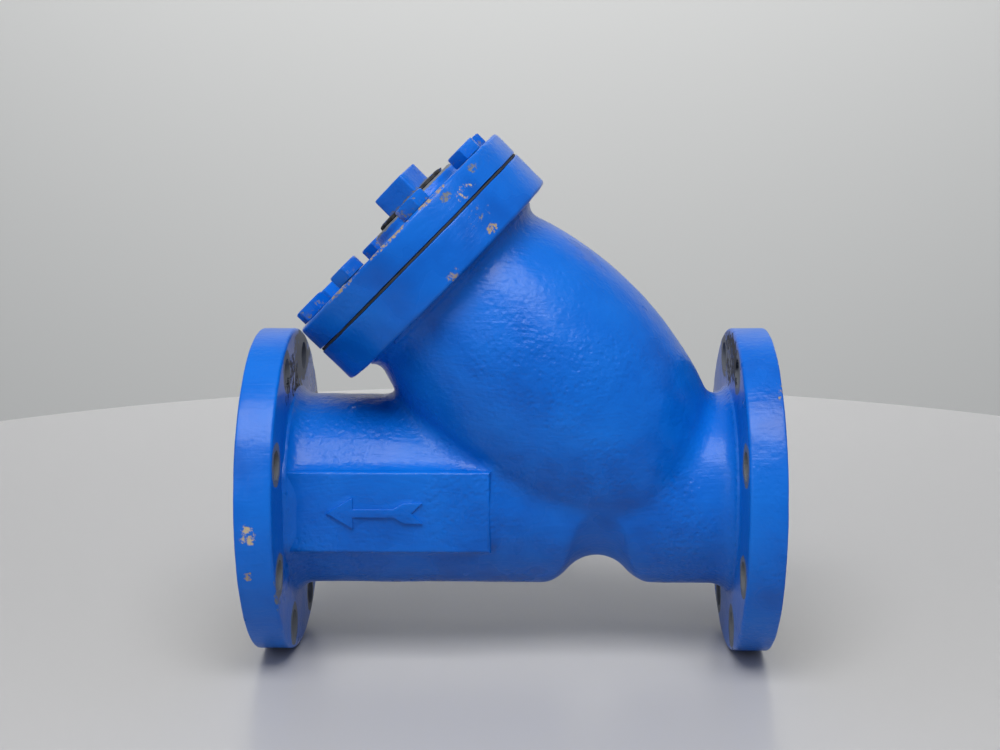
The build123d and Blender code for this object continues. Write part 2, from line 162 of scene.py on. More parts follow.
def rounded(outline, radii, spacing=0.004):
    """Outline with its corners rounded by arcs and its long sides divided."""
    points = []
    for index, corner in enumerate(outline):
        corner = Vector(corner)
        before = (Vector(outline[index - 1]) - corner).normalized()
        after = (Vector(outline[(index + 1) % len(outline)]) - corner).normalized()
        if radii[index] == 0:
            points.append(corner)
            continue
        half = before.angle(after) / 2
        reach = radii[index] / math.tan(half)
        middle = corner + (before + after).normalized() * radii[index] / math.sin(half)
        start = corner + before * reach - middle
        stop = corner + after * reach - middle
        for step in range(5):
            share = step / 4
            direction = (start * (1 - share) + stop * share).normalized()
            points.append(middle + direction * radii[index])
    divided = []
    for index, point in enumerate(points):
        following = points[(index + 1) % len(points)]
        parts = max(1, round((following - point).length / spacing))
        divided += [point.lerp(following, part / parts) for part in range(parts)]
    return [tuple(point) for point in divided]


def rod(radius, start, stop, place, sides=40):
    """Plain cylinder along local Z, for cutting."""
    shape = bmesh.new()
    bmesh.ops.create_cone(shape, cap_ends=True, segments=sides, radius1=radius,
                          radius2=radius, depth=stop - start,
                          matrix=place @ Matrix.Translation((0, 0, (start + stop) / 2)))
    return shape


def cut(piece, cutters, operation="DIFFERENCE"):
    """Cuts or joins bmeshes into a piece with exact booleans."""
    made = []
    for cutter in cutters:
        tool = piece_from("cutter", cutter)
        made.append(tool)
        modifier = piece.modifiers.new("cut", "BOOLEAN")
        modifier.solver = "EXACT"
        modifier.operation = operation
        modifier.object = tool
    apply_modifiers(piece)
    for tool in made:
        bpy.data.objects.remove(tool)
    return piece


def cast_uneven(piece, amount, size, seed):
    """Moves the skin in and out a little, as a sand casting's surface wanders."""
    points, normals = mesh_arrays(piece.data)
    offset = Vector((seed * 3.1, seed * 1.7, seed * 2.3))
    wander = np.empty((len(points), 1))
    for index, point in enumerate(points):
        place = Vector(point) / size
        wander[index] = noise.noise(place + offset) + 0.5 * noise.noise(place * 2.5 + offset)
    points += normals * (wander - 0.9) * amount
    piece.data.vertices.foreach_set("co", points.ravel())
    piece.data.update()


def neighbours_average(mesh):
    """Function that averages point values over each vertex's neighbours."""
    edges = np.empty(len(mesh.edges) * 2, dtype=np.int64)
    mesh.edges.foreach_get("vertices", edges)
    first, second = edges.reshape(-1, 2).T
    count = len(mesh.vertices)
    degree = np.bincount(np.concatenate((first, second)), minlength=count).clip(1)

    def average(values):
        out = np.empty_like(values)
        for axis in range(values.shape[1]):
            out[:, axis] = (np.bincount(first, values[second, axis], count)
                            + np.bincount(second, values[first, axis], count))
        return out / degree[:, None]
    return average


def mesh_arrays(mesh):
    """Vertex positions and normals as arrays."""
    points = np.empty(len(mesh.vertices) * 3)
    mesh.vertices.foreach_get("co", points)
    normals = np.empty(len(mesh.vertices) * 3)
    mesh.vertex_normals.foreach_get("vector", normals)
    return points.reshape(-1, 3), normals.reshape(-1, 3)


def store(mesh, name, values):
    """Keeps one number for each vertex, for the materials to read."""
    attribute = mesh.attributes.new(name, "FLOAT", "POINT")
    attribute.data.foreach_set("value", values.astype(np.float32))


def mark_relief(piece, passes):
    """Stores how far each vertex stands out of, or sits below, its neighbours, in mm."""
    average = neighbours_average(piece.data)
    points, normals = mesh_arrays(piece.data)
    blurred = points
    for _ in range(passes):
        blurred = average(blurred)
    relief = ((points - blurred) * normals).sum(axis=1)[:, None] * 1000
    for _ in range(3):
        relief = 0.5 * relief + 0.5 * average(relief)
    store(piece.data, "relief", relief[:, 0])


def finish_piece(piece, body, slot, material, *replaced):
    piece.data.materials.clear()
    piece.data.materials.append(material)
    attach(piece, body)
    if replaced:
        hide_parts(*replaced)
    return piece


# ===================================================== shared shader groups
def new_group(name, inputs, outputs):
    """Empty node group; inputs are (name, kind, default) and outputs (name, kind)."""
    group = bpy.data.node_groups.new(name, "ShaderNodeTree")
    for label, kind, default in inputs:
        socket = group.interface.new_socket(label, in_out="INPUT",
                                            socket_type="NodeSocket" + kind)
        socket.default_value = default
    for label, kind in outputs:
        group.interface.new_socket(label, in_out="OUTPUT", socket_type="NodeSocket" + kind)
    return group, group.nodes.new("NodeGroupInput"), group.nodes.new("NodeGroupOutput")


class Wires:
    """Short names for adding and joining shader nodes in one tree."""

    def __init__(self, tree):
        self.tree = tree
        self.nodes = tree.nodes

    def add(self, kind, links=None, **settings):
        node = self.nodes.new("ShaderNode" + kind)
        for key, value in settings.items():
            setattr(node, key, value)
        for key, value in (links or {}).items():
            self.feed(node.inputs[key], value)
        return node

    def feed(self, socket, value):
        if isinstance(value, bpy.types.NodeSocket):
            self.tree.links.new(value, socket)
        else:
            socket.default_value = value

    def math(self, operation, first, second=0.0, clamp=False):
        node = self.add("Math", {0: first, 1: second}, operation=operation)
        node.use_clamp = clamp
        return node.outputs[0]

    def ramp(self, value, low, high, to_low=0.0, to_high=1.0):
        node = self.add("MapRange", {"Value": value, "From Min": low, "From Max": high,
                                     "To Min": to_low, "To Max": to_high},
                        interpolation_type="SMOOTHSTEP")
        return node.outputs["Result"]

    def mix(self, share, first, second):
        node = self.add("Mix", data_type="RGBA")
        self.feed(node.inputs["Factor"], share)
        self.feed(node.inputs["A"], first)
        self.feed(node.inputs["B"], second)
        return node.outputs["Result"]

    def noise(self, place, scale, detail=3.0, roughness=0.55, distortion=0.0):
        return self.add("TexNoise", {"Vector": place, "Scale": scale, "Detail": detail,
                                     "Roughness": roughness,
                                     "Distortion": distortion}).outputs["Fac"]


def linear(red, green, blue):
    """Linear colour of an sRGB triple given in 0 to 255."""
    def channel(value):
        value /= 255
        return value / 12.92 if value <= 0.04045 else ((value + 0.055) / 1.055) ** 2.4
    return (channel(red), channel(green), channel(blue), 1.0)


def make_cast_skin():
    """Height of sand-cast pits and grains, softened by the enamel that fills them."""
    group, inlet, outlet = new_group(
        "Cast skin", [("Place", "Vector", (0, 0, 0)), ("Grain", "Float", 260.0),
                      ("Lumps", "Float", 45.0), ("Roughcast", "Float", 1.0)],
        [("Height", "Float"), ("Pits", "Float")])
    wires = Wires(group)
    place = inlet.outputs["Place"]
    lumps = wires.noise(place, inlet.outputs["Lumps"], 2.0, 0.5)
    grain = wires.noise(place, inlet.outputs["Grain"], 4.0, 0.62)
    cells = wires.add("TexVoronoi", {"Vector": place, "Scale": inlet.outputs["Grain"],
                                     "Randomness": 1.0}, feature="SMOOTH_F1")
    pits = wires.ramp(cells.outputs["Distance"], 0.12, 0.5)
    patchy = wires.ramp(wires.noise(place, 14.0, 2.0), 0.42, 0.62)
    strength = wires.math("MULTIPLY", inlet.outputs["Roughcast"],
                          wires.math("ADD", wires.math("MULTIPLY", patchy, 0.7), 0.3))
    fine = wires.math("MULTIPLY", wires.math("ADD", grain, wires.math(
        "MULTIPLY", pits, 0.35)), strength)
    height = wires.math("ADD", wires.math("MULTIPLY", lumps, 0.9), fine)
    wires.feed(outlet.inputs["Height"], height)
    wires.feed(outlet.inputs["Pits"], pits)
    return group


def make_brush_marks():
    """Streaks that the paint brush left, long one way and fine across it."""
    group, inlet, outlet = new_group(
        "Brush marks", [("Place", "Vector", (0, 0, 0)), ("Turn", "Vector", (0, 0, 0)),
                        ("Fineness", "Float", 420.0)],
        [("Height", "Float"), ("Thin", "Float")])
    wires = Wires(group)
    bent = wires.add("VectorMath", {0: inlet.outputs["Place"], 1: wires.add(
        "VectorMath", {0: wires.add("TexNoise", {"Vector": inlet.outputs["Place"],
                                                 "Scale": 9.0}).outputs["Color"],
                       "Scale": 0.03}, operation="SCALE").outputs[0]}, operation="ADD")
    mapping = wires.add("Mapping", {"Vector": bent.outputs[0],
                                    "Rotation": inlet.outputs["Turn"],
                                    "Scale": (0.06, 1.0, 1.0)})
    streaks = wires.noise(mapping.outputs[0], inlet.outputs["Fineness"], 2.0, 0.5)
    wires.feed(outlet.inputs["Height"], streaks)
    wires.feed(outlet.inputs["Thin"], wires.ramp(streaks, 0.62, 0.8))
    return group


def make_spot():
    """Ragged patch about a point: 1 inside, 0 outside."""
    group, inlet, outlet = new_group(
        "Ragged spot", [("Place", "Vector", (0, 0, 0)), ("Centre", "Vector", (0, 0, 0)),
                        ("Reach", "Vector", (0.01, 0.01, 0.01)), ("Rag", "Float", 160.0),
                        ("Fill", "Float", 0.5)],
        [("Mask", "Float")])
    wires = Wires(group)
    offset = wires.add("VectorMath", {0: inlet.outputs["Place"],
                                      1: inlet.outputs["Centre"]}, operation="SUBTRACT")
    scaled = wires.add("VectorMath", {0: offset.outputs[0], 1: inlet.outputs["Reach"]},
                       operation="DIVIDE")
    distance = wires.add("VectorMath", {0: scaled.outputs[0]},
                         operation="LENGTH").outputs["Value"]
    ragged = wires.noise(inlet.outputs["Place"], inlet.outputs["Rag"], 5.0, 0.65)
    inside = wires.ramp(distance, 1.15, 0.35)
    level = wires.math("ADD", wires.math("MULTIPLY", inside, inlet.outputs["Fill"]),
                       wires.math("MULTIPLY", ragged, 0.6))
    wires.feed(outlet.inputs["Mask"], wires.math(
        "MULTIPLY", wires.ramp(level, 0.60, 0.68), wires.ramp(distance, 1.2, 0.9)))
    return group


CAST_SKIN = make_cast_skin()
BRUSH_MARKS = make_brush_marks()
SPOT = make_spot()

ENAMEL = linear(2, 92, 190)
ENAMEL_DEEP = linear(2, 78, 168)
ENAMEL_CHALK = linear(8, 102, 200)
# Dark grime colour: real grime on the flange backs, and painted shade in the enamel's hollows.
GRIME_AND_SHADE = linear(28, 32, 40)
PRIMER = linear(176, 160, 132)
SAND = linear(150, 134, 112)
BARE_IRON = linear(108, 112, 118)
INSIDE_SCALE = linear(70, 62, 58)
INSIDE_RUST = linear(112, 70, 46)


def new_material(name):
    material = bpy.data.materials.new(name)
    material.use_nodes = True
    wires = Wires(material.node_tree)
    shader = wires.nodes["Principled BSDF"]
    place = wires.add("TexCoord").outputs["Object"]
    return material, wires, shader, place


def group_node(wires, group, **links):
    node = wires.add("Group", node_tree=group)
    for key, value in links.items():
        wires.feed(node.inputs[key], value)
    return node


def enamel(name, grain=260.0, roughcast=1.0, turn=(0, 0, 0), spots=(), edge_wear=0.35,
           dirt_and_shade=1.0, bump=0.5, on_leg=False):
    """Blue enamel over iron, with painted shade and dirt in its hollows. spots are (centre, reach, rag, fill,
    colour, roughness).
    """
    material, wires, shader, place = new_material(name)
    if on_leg:
        place = leg_coordinates(wires, place)
    skin = group_node(wires, CAST_SKIN, Place=place, Grain=grain, Roughcast=roughcast)
    brush = group_node(wires, BRUSH_MARKS, Place=place, Turn=turn)
    relief = wires.add("Attribute", attribute_name="relief").outputs["Fac"]
    tone = wires.noise(place, 11.0, 3.0, 0.6)
    colour = wires.mix(wires.ramp(tone, 0.35, 0.7), ENAMEL, ENAMEL_CHALK)
    colour = wires.mix(wires.ramp(tone, 0.5, 0.25), colour, ENAMEL_DEEP)
    colour = wires.mix(wires.math("MULTIPLY", brush.outputs["Thin"], 0.25), colour,
                       ENAMEL_DEEP)
    # Painted shade: hollows and creases, where the surface sits below its neighbours, are darkened towards the
    # dark grime colour and made rougher, broken up by smudge noise; partly dirt, partly painted shade.
    hollow = wires.ramp(relief, -0.12, -0.9)
    smudge = wires.noise(place, 60.0, 5.0, 0.7)
    dirt_and_hollow_shade = wires.math("MULTIPLY", wires.ramp(wires.math(
        "MULTIPLY", hollow, wires.math("ADD", smudge, 0.4)), 0.2, 0.8), dirt_and_shade)
    colour = wires.mix(dirt_and_hollow_shade, colour, GRIME_AND_SHADE)
    ragged = wires.noise(place, 230.0, 5.0, 0.7)
    worn = wires.math("MULTIPLY", wires.ramp(relief, 0.25, 0.9), edge_wear)
    bare = wires.ramp(wires.math("ADD", worn, wires.math("MULTIPLY", ragged, 0.6)),
                      0.55, 0.64)
    colour = wires.mix(bare, colour, BARE_IRON)
    rough = wires.mix(bare, wires.mix(dirt_and_hollow_shade, wires.mix(
        wires.ramp(tone, 0.3, 0.7), (0.24,) * 3 + (1,), (0.36,) * 3 + (1,)),
        (0.75,) * 3 + (1,)), (0.6,) * 3 + (1,))
    height = wires.math("ADD", wires.math("MULTIPLY", skin.outputs["Height"], 1.0),
                        wires.math("MULTIPLY", brush.outputs["Height"], 0.35))
    height = wires.math("SUBTRACT", height, wires.math("MULTIPLY", bare, 0.25))
    for centre, reach, rag, fill, paint, roughness in spots:
        mask = group_node(wires, SPOT, Place=place, Centre=centre, Reach=reach, Rag=rag,
                          Fill=fill).outputs["Mask"]
        colour = wires.mix(mask, colour, paint)
        rough = wires.mix(mask, rough, (roughness,) * 3 + (1,))
        height = wires.math("SUBTRACT", height, wires.math("MULTIPLY", mask, 0.5))
    inside = wires.add("Attribute", attribute_name="inside").outputs["Fac"]
    scale = wires.mix(wires.ramp(smudge, 0.35, 0.7), INSIDE_SCALE, INSIDE_RUST)
    colour = wires.mix(inside, colour, scale)
    rough = wires.mix(inside, rough, (0.85,) * 3 + (1,))
    wires.feed(shader.inputs["Base Color"], colour)
    wires.feed(shader.inputs["Roughness"], rough)
    bumped = wires.add("Bump", {"Height": height, "Strength": bump, "Distance": 0.0011})
    wires.feed(shader.inputs["Normal"], bumped.outputs[0])
    shader.inputs["Specular IOR Level"].default_value = 0.2
    shader.inputs["Coat Weight"].default_value = 0.08
    shader.inputs["Coat Roughness"].default_value = 0.12
    return material


def leg_coordinates(wires, place):
    """Object coordinates seen from the leg: Z along it, X across it in its own plane."""
    return wires.add("Mapping", {"Vector": place, "Location": LEG_FRAME.to_translation(),
                                 "Rotation": LEG_FRAME.to_euler()},
                     vector_type="TEXTURE").outputs[0]


def machined_iron():
    """Turned flange face: fine rings about the run axis, greyed by handling."""
    material, wires, shader, place = new_material("Machined iron")
    parts = wires.add("SeparateXYZ", {"Vector": place}).outputs
    height = wires.math("SUBTRACT", parts["Z"], RUN_CENTRE.z)
    radius = wires.math("SQRT", wires.math("ADD", wires.math(
        "MULTIPLY", parts["Y"], parts["Y"]), wires.math("MULTIPLY", height, height)))
    rings = wires.math("SINE", wires.math("MULTIPLY", radius, math.tau / 0.0012))
    blotch = wires.noise(place, 24.0, 5.0, 0.65)
    stain = wires.ramp(blotch, 0.5, 0.72)
    colour = wires.mix(stain, linear(122, 122, 124), linear(96, 78, 64))
    edge = wires.ramp(wires.math("ADD", radius, wires.math(
        "MULTIPLY", wires.noise(place, 70.0, 4.0), 0.02)), 0.129, 0.1305)
    colour = wires.mix(edge, colour, ENAMEL)
    wires.feed(shader.inputs["Base Color"], colour)
    wires.feed(shader.inputs["Metallic"], wires.ramp(wires.math(
        "ADD", stain, edge), 0.6, 0.1, 0.0, 0.8))
    wires.feed(shader.inputs["Roughness"], wires.ramp(blotch, 0.3, 0.7, 0.35, 0.6))
    bumped = wires.add("Bump", {"Height": wires.math("ADD", rings, wires.math(
        "MULTIPLY", blotch, 2.0)), "Strength": 0.35, "Distance": 0.00015})
    wires.feed(shader.inputs["Normal"], bumped.outputs[0])
    return material


def sheet_gasket():
    """Compressed fibre sheet, dark, with a slightly frayed cut edge."""
    material, wires, shader, place = new_material("Sheet gasket")
    fibre = wires.noise(place, 900.0, 5.0, 0.7, 0.6)
    wires.feed(shader.inputs["Base Color"], wires.mix(
        fibre, linear(22, 24, 30), linear(52, 54, 60)))
    wires.feed(shader.inputs["Roughness"], wires.ramp(fibre, 0.3, 0.7, 0.7, 0.95))
    bumped = wires.add("Bump", {"Height": fibre, "Strength": 0.5, "Distance": 0.0002})
    wires.feed(shader.inputs["Normal"], bumped.outputs[0])
    return material


def torn_rubber():
    """Black rubber with a matt, torn edge and flecks of blue paint."""
    material, wires, shader, place = new_material("Torn rubber")
    tear = wires.noise(place, 500.0, 5.0, 0.7)
    fleck = wires.ramp(wires.noise(place, 190.0, 4.0, 0.6), 0.62, 0.68)
    colour = wires.mix(tear, linear(12, 13, 15), linear(44, 46, 50))
    wires.feed(shader.inputs["Base Color"], wires.mix(fleck, colour, ENAMEL_DEEP))
    wires.feed(shader.inputs["Roughness"], wires.ramp(tear, 0.3, 0.7, 0.6, 0.9))
    bumped = wires.add("Bump", {"Height": tear, "Strength": 0.7, "Distance": 0.0005})
    wires.feed(shader.inputs["Normal"], bumped.outputs[0])
    return material


def screen_steel():
    """Stainless sheet, brushed round the tube, with a little scale in patches."""
    material, wires, shader, place = new_material("Screen steel")
    place = leg_coordinates(wires, place)
    stretched = wires.add("Mapping", {"Vector": place, "Scale": (0.15, 0.15, 3.0)})
    brushed = wires.noise(stretched.outputs[0], 500.0, 3.0, 0.6)
    tint = wires.ramp(wires.noise(place, 18.0, 4.0, 0.6), 0.5, 0.75)
    wires.feed(shader.inputs["Base Color"], wires.mix(
        tint, linear(196, 198, 200), linear(150, 136, 118)))
    shader.inputs["Metallic"].default_value = 1.0
    wires.feed(shader.inputs["Roughness"], wires.ramp(brushed, 0.3, 0.7, 0.24, 0.42))
    bumped = wires.add("Bump", {"Height": brushed, "Strength": 0.3, "Distance": 0.0001})
    wires.feed(shader.inputs["Normal"], bumped.outputs[0])
    return material


# ============================================================== body casting
BACK = HALF_RUN - FLANGE_THICKNESS
NECK_OVERLAP = 0.006
NECK_CUT = 0.003
NECK_FILLET = 0.011
LEG_NECK_FILLET = 0.009
LEG_NECK_TOP = 0.09198
LEG_NECK_ROOT = 0.080                               # under the barrel's skin
NECK_RADIUS = 0.075
NECK_ROOT = 0.074                                   # under the pipe's skin
NECK_START = BACK - NECK_FILLET
CASTING_NODES = ("body_casting", "inlet_flange", "outlet_flange", "leg_flange")
PAD_LEFT = -0.172
PAD_RIGHT = -0.015
PAD_HEIGHT = 0.063
PAD_FACE = 0.0782
PAD_ROOT = 0.064                                    # inside the pipe wall
ARROW_TIP = -0.138
ARROW_TAIL = -0.066
ARROW_HEAD_LENGTH = 0.020
ARROW_HEAD_HALF = 0.012
ARROW_SHAFT_HALF = 0.0033
ARROW_TAIL_LENGTH = 0.022
ARROW_TAIL_HALF = 0.008
ARROW_PROUD = 0.0023
SHELL_VOXEL = 0.0024
LEG_CUT_REACH = 0.1095                              # from the leg's axis, clear of the run
BORE_REACH = 0.070                                  # between bore wall and pipe outside
CHAMBER_REACH = 0.0925                              # past the chamber's widest wall
CHAMBER_DEPTH = 0.283                               # from the cover's top, just past the seat


def cut_away(shape, point, normal, keep_radius=1.0):
    """Drops what is beyond a plane, near a point, and runs the open end on into the flange."""
    near = [vertex for vertex in shape.verts
            if ((vertex.co - point) - (vertex.co - point).dot(normal) * normal).length
            < keep_radius and (vertex.co - point).dot(normal) > -0.01]
    chosen = set(near)
    edges = [edge for edge in shape.edges if edge.verts[0] in chosen
             and edge.verts[1] in chosen]
    faces = [face for face in shape.faces if all(vertex in chosen for vertex in face.verts)]
    bmesh.ops.bisect_plane(shape, geom=near + edges + faces, dist=1e-7, plane_co=point,
                           plane_no=normal, clear_outer=True)
    rim = [edge for edge in shape.edges if edge.is_boundary
           and abs((edge.verts[0].co - point).dot(normal)) < 1e-5
           and (edge.verts[0].co - point).length < keep_radius]
    added = bmesh.ops.extrude_edge_only(shape, edges=rim)["geom"]
    bmesh.ops.translate(shape, vec=Vector(normal) * NECK_OVERLAP,
                        verts=[item for item in added if isinstance(item, bmesh.types.BMVert)])


def joined_casting():
    """The casting's four solids as one, without the cut faces where they meet."""
    shape = bmesh.new()
    for node in CASTING_NODES:
        shape.from_mesh(frame["nodes"][node].data)
    leg_start = LEG_FRAME @ Vector((0, 0, LEG_FACE - LEG_FLANGE_THICKNESS - LEG_NECK_FILLET))
    inner = [face for face in shape.faces
             if all(abs(abs(vertex.co.x) - NECK_START) < 1e-5 for vertex in face.verts)
             or all(abs((vertex.co - leg_start).dot(LEG_UP)) < 1e-5 for vertex in face.verts)]
    bmesh.ops.delete(shape, geom=inner, context="FACES")
    bmesh.ops.remove_doubles(shape, verts=shape.verts, dist=2e-6)
    mesh = bpy.data.meshes.new("body_shell")
    shape.to_mesh(mesh)
    shape.free()
    return link("body_shell", mesh)


def body_shell():
    """The cast run and barrel, with its sharp junctions softened as a mould softens them."""
    piece = joined_casting()
    remesh = piece.modifiers.new("remesh", "REMESH")
    remesh.mode = "VOXEL"
    remesh.voxel_size = SHELL_VOXEL
    apply_modifiers(piece)
    soften(piece)
    shape = bmesh.new()
    shape.from_mesh(piece.data)
    cut_away(shape, RUN_CENTRE + Vector((BACK - NECK_CUT, 0, 0)), Vector((1, 0, 0)))
    cut_away(shape, RUN_CENTRE - Vector((BACK - NECK_CUT, 0, 0)), Vector((-1, 0, 0)))
    leg_back = LEG_FACE - LEG_FLANGE_THICKNESS
    cut_away(shape, LEG_FRAME @ Vector((0, 0, leg_back - NECK_CUT)), LEG_UP,
             LEG_CUT_REACH)
    shape.to_mesh(piece.data)
    shape.free()
    cast_uneven(piece, 0.00035, 0.03, 3)
    mark_relief(piece, 5)
    mark_inside(piece)
    smooth_shade(piece, 180)
    return piece


def arrow_pad():
    """Raised pad with the flow arrow, pointing to the outlet, its edges a little rounded."""
    shape = bmesh.new()
    bmesh.ops.create_cube(shape, size=1.0, matrix=Matrix.Translation(
        ((PAD_LEFT + PAD_RIGHT) / 2, -(PAD_FACE + PAD_ROOT) / 2, RUN_CENTRE.z))
        @ Matrix.Diagonal((PAD_RIGHT - PAD_LEFT, PAD_FACE - PAD_ROOT, PAD_HEIGHT, 1)))
    rim = [edge for edge in shape.edges
           if max(vertex.co.y for vertex in edge.verts) < -PAD_FACE + 1e-5]
    bmesh.ops.bevel(shape, geom=rim, offset=0.0032, segments=4, profile=0.5,
                    affect="EDGES", material=-1)
    head = ARROW_TIP + ARROW_HEAD_LENGTH
    fork = ARROW_TAIL - ARROW_TAIL_LENGTH
    upper = [(head, ARROW_HEAD_HALF), (head, ARROW_SHAFT_HALF), (fork, ARROW_SHAFT_HALF),
             (fork + ARROW_TAIL_HALF, ARROW_TAIL_HALF), (ARROW_TAIL, ARROW_TAIL_HALF)]
    outline = [(ARROW_TIP, 0)] + upper + [(ARROW_TAIL - ARROW_TAIL_HALF, 0)] + [
        (along, -half) for along, half in reversed(upper)]
    low = [shape.verts.new((along, -PAD_FACE + 0.0005, RUN_CENTRE.z + half))
           for along, half in outline]
    face = shape.faces.new(low)
    raised = bmesh.ops.extrude_face_region(shape, geom=[face])["geom"]
    top = [item for item in raised if isinstance(item, bmesh.types.BMVert)]
    bmesh.ops.translate(shape, vec=(0, -ARROW_PROUD - 0.0005, 0), verts=top)
    chosen = set(top)
    edges = [edge for edge in shape.edges
             if edge.verts[0] in chosen and edge.verts[1] in chosen]
    bmesh.ops.bevel(shape, geom=edges, offset=0.0008, segments=3, profile=0.5,
                    affect="EDGES", material=-1)
    bmesh.ops.recalc_face_normals(shape, faces=shape.faces)
    return piece_from("arrow_pad", shape, 35)


def soften(piece):
    """Evens the whole skin a little and rounds its hollow creases a lot."""
    mesh = piece.data
    average = neighbours_average(mesh)
    points, normals = mesh_arrays(mesh)
    for _ in range(4):
        points = 0.5 * points + 0.5 * average(points)
    blurred = points.copy()
    for _ in range(14):
        blurred = average(blurred)
    hollow = -((points - blurred) * normals).sum(axis=1)
    weight = np.clip((hollow - 0.0002) / 0.0006, 0, 1)[:, None]
    for _ in range(6):
        weight = np.maximum(weight, average(weight))
    for _ in range(4):
        weight = average(weight)
    for _ in range(40):
        points = points + 0.5 * weight * (average(points) - points)
    mesh.vertices.foreach_set("co", points.ravel())
    mesh.update()


def mark_inside(piece):
    """Marks the bore and the screen chamber, which no paint brush reached."""
    points, normals = mesh_arrays(piece.data)
    across_run = points - np.array(RUN_CENTRE)
    across_run[:, 0] = 0
    to_leg = points - np.array(LEG_FRAME.to_translation())
    along = to_leg @ np.array(LEG_UP)
    across_leg = to_leg - along[:, None] * np.array(LEG_UP)
    in_run = (np.linalg.norm(across_run, axis=1) < BORE_REACH) & (
        (across_run * normals).sum(axis=1) < 0.01)
    in_leg = (np.linalg.norm(across_leg, axis=1) < CHAMBER_REACH) & (along > -CHAMBER_DEPTH) & (
        (across_leg * normals).sum(axis=1) < -0.02)
    store(piece.data, "inside", in_run | in_leg)


def fillet_points(radius, height, fillet):
    """Upper part of a neck's fillet, down from the flange's back, for a turned outline."""
    return [(radius - fillet * math.sin(turn), height - fillet + fillet * math.cos(turn))
            for turn in (0, 0.15, 0.3, 0.45, 0.6, 0.75, 0.85)]


def pipe_flange(name, side):
    """Run flange: turned rim, eight bolt holes, a machined face outwards."""
    place = Matrix.Translation(RUN_CENTRE + Vector((side * BACK, 0, 0))) @ Matrix.Rotation(
        side * math.pi / 2, 4, "Y")
    outline = rounded(
        [(PIPE_BORE_RADIUS, FLANGE_THICKNESS), (FLANGE_RADIUS, FLANGE_THICKNESS),
         (FLANGE_RADIUS, 0)] + fillet_points(NECK_RADIUS + NECK_FILLET, 0, NECK_FILLET)
        + [(NECK_ROOT, -NECK_OVERLAP), (PIPE_BORE_RADIUS, -NECK_OVERLAP)],
        [0.0008, 0.0016, 0.0028] + [0] * 9)
    piece = piece_from(name, spun(outline, place, 180))
    cast_uneven(piece, 0.00025, 0.02, 5 + side)
    cutters = []
    for index in range(PIPE_HOLES["count"]):
        turn = Matrix.Rotation(math.tau * (index + 0.5) / PIPE_HOLES["count"], 4, "Z")
        hole = turn @ Matrix.Translation((PIPE_HOLES["pcd_mm"] / 2000, 0, 0))
        cutters.append(rod(PIPE_HOLES["hole_r_mm"] / 1000, -0.01, 0.04, place @ hole))
    cut(piece, cutters)
    mark_relief(piece, 3)
    mark_inside(piece)
    smooth_shade(piece, 40)
    return piece


def machine_faces(piece, material, test):
    """Gives the faces that pass a test a second material."""
    piece.data.materials.append(material)
    for face in piece.data.polygons:
        if test(face):
            face.material_index = 1


def leg_flange():
    """Flange at the leg's end: turned rim, eight tapped holes."""
    back = LEG_FACE - LEG_FLANGE_THICKNESS
    outline = rounded(
        [(LEG_BORE_RADIUS, LEG_FACE), (LEG_FLANGE_RADIUS, LEG_FACE),
         (LEG_FLANGE_RADIUS, back)] + fillet_points(LEG_NECK_TOP, back, LEG_NECK_FILLET)
        + [(LEG_NECK_ROOT, back - NECK_OVERLAP), (LEG_BORE_RADIUS, back - NECK_OVERLAP)],
        [0.0008, 0.0012, 0.0030] + [0] * 9)
    piece = piece_from("leg_flange", spun(outline, LEG_FRAME, 180))
    cast_uneven(piece, 0.0003, 0.022, 9)
    cutters = [rod(BOLT_RADIUS + FIT, LEG_FACE - TAPPED_DEPTH, LEG_FACE + 0.01,
                   leg_place(point)) for point in BOLT_POINTS]
    cut(piece, cutters)
    mark_relief(piece, 3)
    mark_inside(piece)
    smooth_shade(piece, 40)
    return piece


def cover():
    """Blank flange with an off-centre blow-off boss and a pocket for the screen."""
    outline = rounded(
        [(POCKET_RADIUS, -COVER_THICKNESS), (LEG_FLANGE_RADIUS, -COVER_THICKNESS),
         (LEG_FLANGE_RADIUS, 0), (0, 0), (0, POCKET_DEPTH - COVER_THICKNESS),
         (POCKET_RADIUS, POCKET_DEPTH - COVER_THICKNESS)],
        [0.0008, 0.0012, 0.0032, 0, 0, 0.001])
    piece = piece_from("cover_shape", spun(outline, LEG_FRAME, 180))
    boss_offset = (LEG_FRAME.inverted() @ PLUG_POINT).x
    boss_place = LEG_FRAME @ Matrix.Translation((boss_offset, 0, 0))
    boss = spun([(0, -0.004), (BOSS_RADIUS + 0.0035, -0.004), (BOSS_RADIUS + 0.0035, 0.0001),
                 (BOSS_RADIUS + 0.0015, 0.0006), (BOSS_RADIUS + 0.0004, 0.0018),
                 (BOSS_RADIUS, 0.0035), (BOSS_RADIUS, 0.0050),
                 (BOSS_RADIUS - 0.0006, 0.0068), (BOSS_RADIUS - 0.0018, 0.0080),
                 (BOSS_RADIUS - 0.0036, BOSS_HEIGHT), (0, BOSS_HEIGHT)], boss_place, 96)
    cut(piece, [boss], "UNION")
    cast_uneven(piece, 0.00045, 0.024, 12)
    cutters = [rod(PLUG_RADIUS + FIT, -0.05, 0.05, boss_place, 96)]
    cutters += [rod(BOLT_HOLE_RADIUS, -0.05, 0.05, leg_place(point))
                for point in BOLT_POINTS]
    cut(piece, cutters)
    mark_relief(piece, 3)
    smooth_shade(piece, 40)
    return piece


